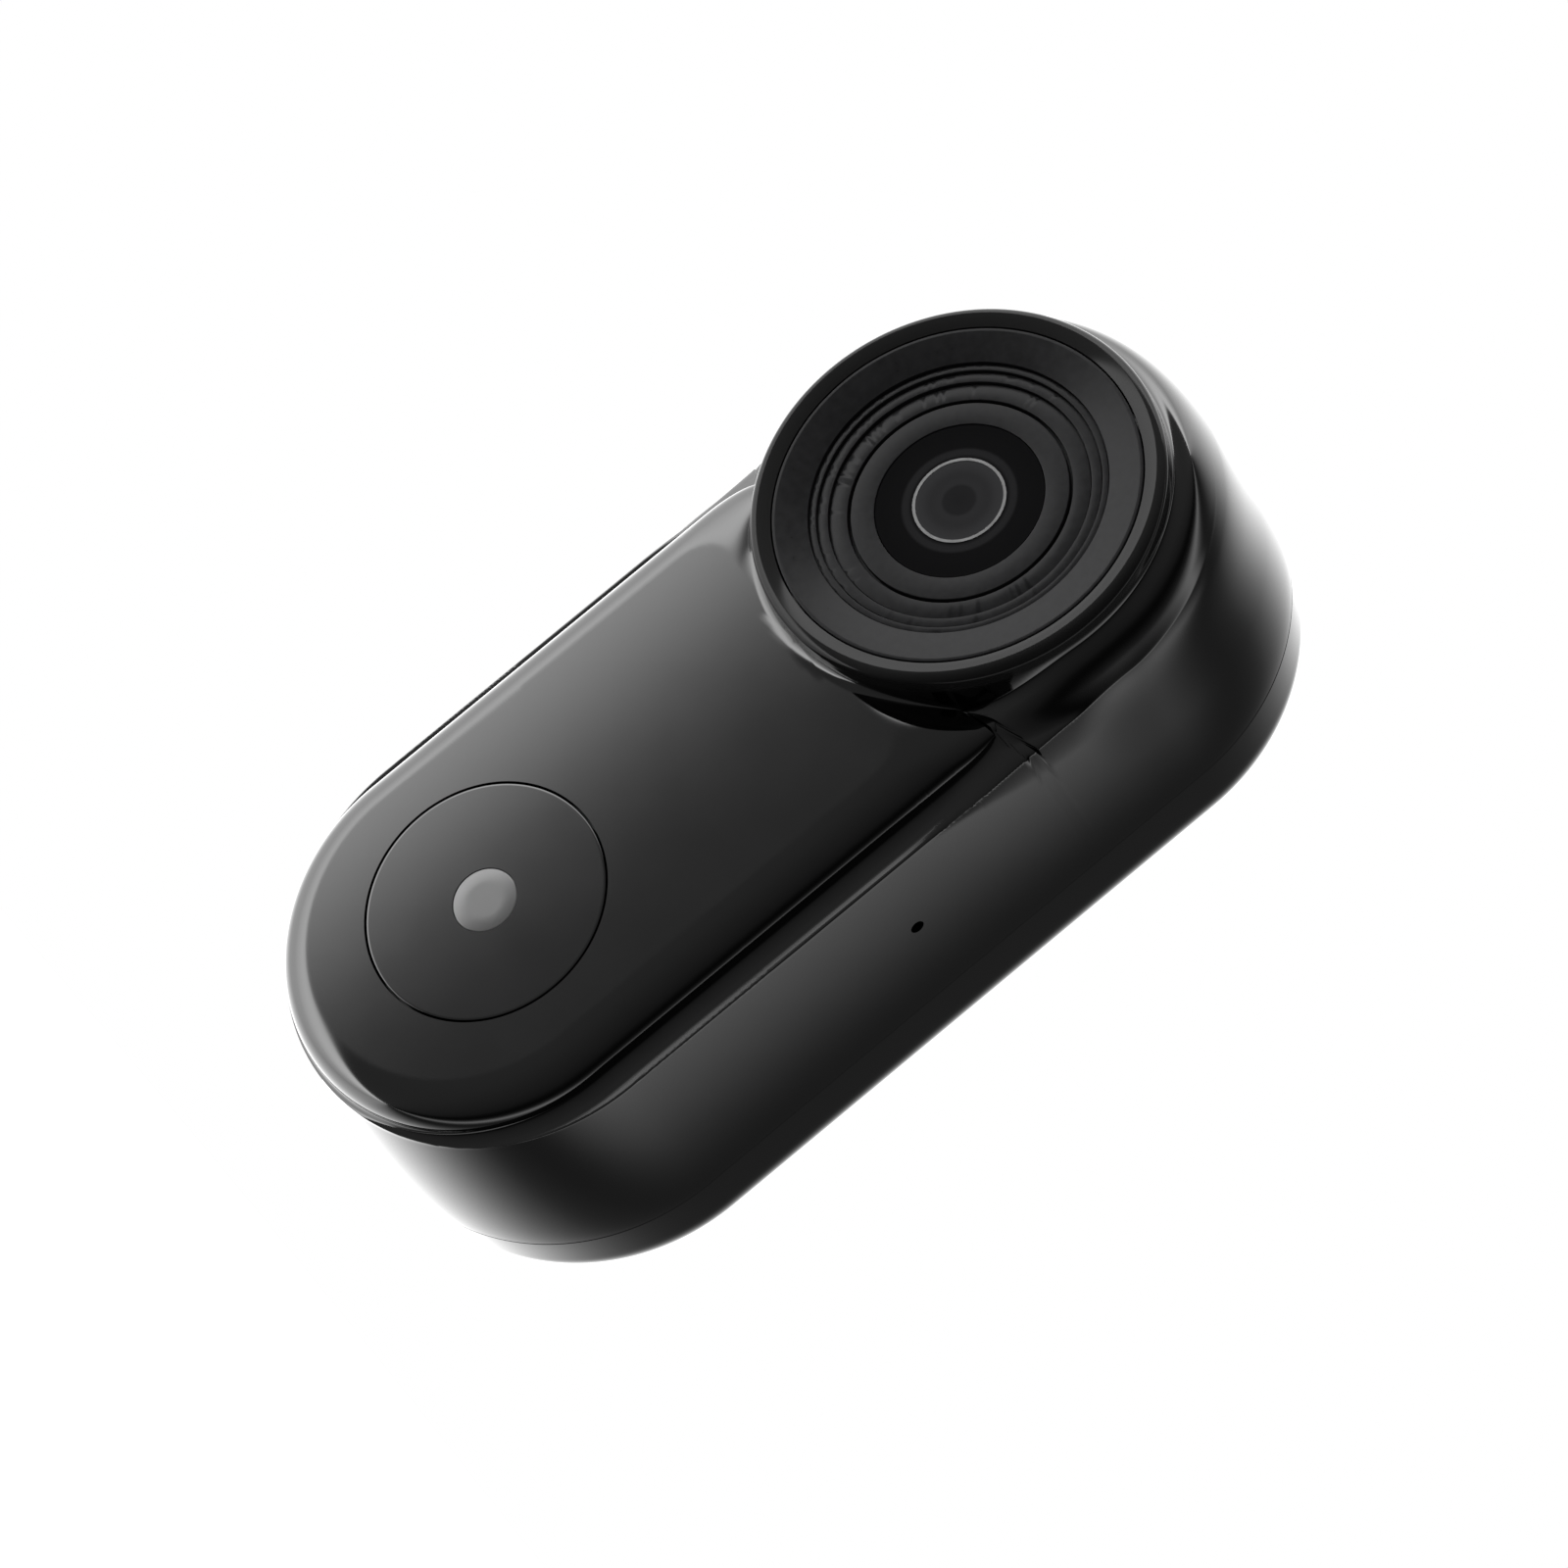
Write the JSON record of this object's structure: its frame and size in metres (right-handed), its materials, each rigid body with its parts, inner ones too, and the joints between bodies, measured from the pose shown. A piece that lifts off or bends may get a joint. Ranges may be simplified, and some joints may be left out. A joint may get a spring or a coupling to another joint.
{
  "type": "action camera",
  "caption": "Thumb-sized pill-shaped action camera with a screw-on lens guard, a round front shutter button and a flat magnetic back.",
  "frame": {"origin": "centre of the flat magnetic back face", "axes": "+Z along the body towards the lens end, +Y out of the back face, the lens looking along -Y"},
  "size_m": [0.0234, 0.0207, 0.0536],
  "materials": {
    "shell_gloss": "gloss black",
    "gasket_rubber": "matt",
    "thread_metal": "black anodised",
    "guard_matt": "matt black anodised",
    "guard_flat": "satin black",
    "guard_clear": "dark coated",
    "window_ring": "satin",
    "barrel_black": "matt black anodised",
    "lens_glass": "coated",
    "filter_glass": "infrared cut coating",
    "holder_plastic": "matt black",
    "screw_steel": "satin",
    "sensor_dark": "dark",
    "board_green": "solder resist",
    "flex_amber": "polyimide",
    "foam_grey": "foam",
    "frame_metal": "die cast",
    "button_gloss": "gloss black",
    "light_grey": "translucent grey",
    "dome_steel": "bright",
    "light_white": "white case",
    "chip_black": "moulded",
    "can_metal": "satin",
    "connector_plastic": "natural",
    "pad_blue": "thermal pad",
    "spreader_copper": "copper",
    "battery_foil": "laminate pouch",
    "motor_steel": "satin",
    "weight_metal": "sintered",
    "mic_metal": "plated",
    "magnet_nickel": "nickel plated",
    "contact_black": "matt black",
    "contact_gold": "gold plated"
  },
  "bodies": {
    "camera": {"front_shell": "shell_gloss", "rear_shell": "shell_gloss", "shell_gasket": "gasket_rubber", "guard_thread_ring": "thread_metal", "lens_barrel": "barrel_black", "lens_retainer_ring": "barrel_black", "front_element": "lens_glass", "second_element": "lens_glass", "third_element": "lens_glass", "fourth_element": "lens_glass", "element_spacers": "barrel_black", "aperture_stop": "barrel_black", "lens_holder": "holder_plastic", "lens_screws": "screw_steel", "infrared_filter": "filter_glass", "image_sensor": "sensor_dark", "sensor_board": "board_green", "sensor_flex": "flex_amber", "foam_pad": "foam_grey", "mid_frame": "frame_metal", "frame_screws": "screw_steel", "button_seal": "gasket_rubber", "switch_board": "board_green", "switch_dome": "dome_steel", "status_light": "light_white", "switch_flex": "flex_amber", "main_board": "board_green", "processor": "chip_black", "memory_chip": "chip_black", "shield_can": "can_metal", "power_chip": "chip_black", "motion_sensor": "chip_black", "wireless_module": "can_metal", "board_connectors": "connector_plastic", "thermal_pad": "pad_blue", "heat_spreader": "spreader_copper", "battery_cell": "battery_foil", "battery_board": "board_green", "battery_flex": "flex_amber", "haptic_can": "motor_steel", "microphone": "mic_metal", "mic_gasket": "gasket_rubber", "mic_mesh": "mic_metal", "mic_flex": "flex_amber", "antenna": "flex_amber", "upper_magnet": "magnet_nickel", "lower_magnet": "magnet_nickel", "contact_block": "contact_black", "contact_pads": "contact_gold", "contact_flex": "flex_amber"},
    "guard_seal_carrier": {"guard_seal": "gasket_rubber"},
    "lens_guard": {"lens_guard_ring": "guard_matt", "guard_retainer_ring": "guard_flat", "guard_glass": "guard_clear", "guard_window_ring": "window_ring"},
    "button": {"shutter_button": "button_gloss", "light_window": "light_grey"},
    "motor_rotor": {"haptic_rotor": "weight_metal"}
  },
  "joints": [
    {"name": "guard_travel", "type": "slide", "parent": "camera", "child": "guard_seal_carrier", "axis": [0, -1, 0], "range_m": [0, 0.0028]},
    {"name": "guard_twist", "type": "hinge", "parent": "guard_seal_carrier", "child": "lens_guard", "pos_m": [0, -0.0202, 0.01355], "axis": [0, -1, 0], "range_deg": [0, 340]},
    {"name": "button_press", "type": "slide", "parent": "camera", "child": "button", "axis": [0, 1, 0], "range_m": [0, 0.00035], "stiffness_N_per_m": 4000, "springref_m": -0.0001, "deforming": ["switch_dome"]},
    {"name": "motor_spin", "type": "hinge", "parent": "camera", "child": "motor_rotor", "pos_m": [0, -0.0122, 0.0035], "axis": [1, 0, 0], "continuous": true}
  ],
  "couplings": [
    {"joint": "guard_twist", "follows": "guard_travel", "rad_per_m": 2094.4}
  ]
}
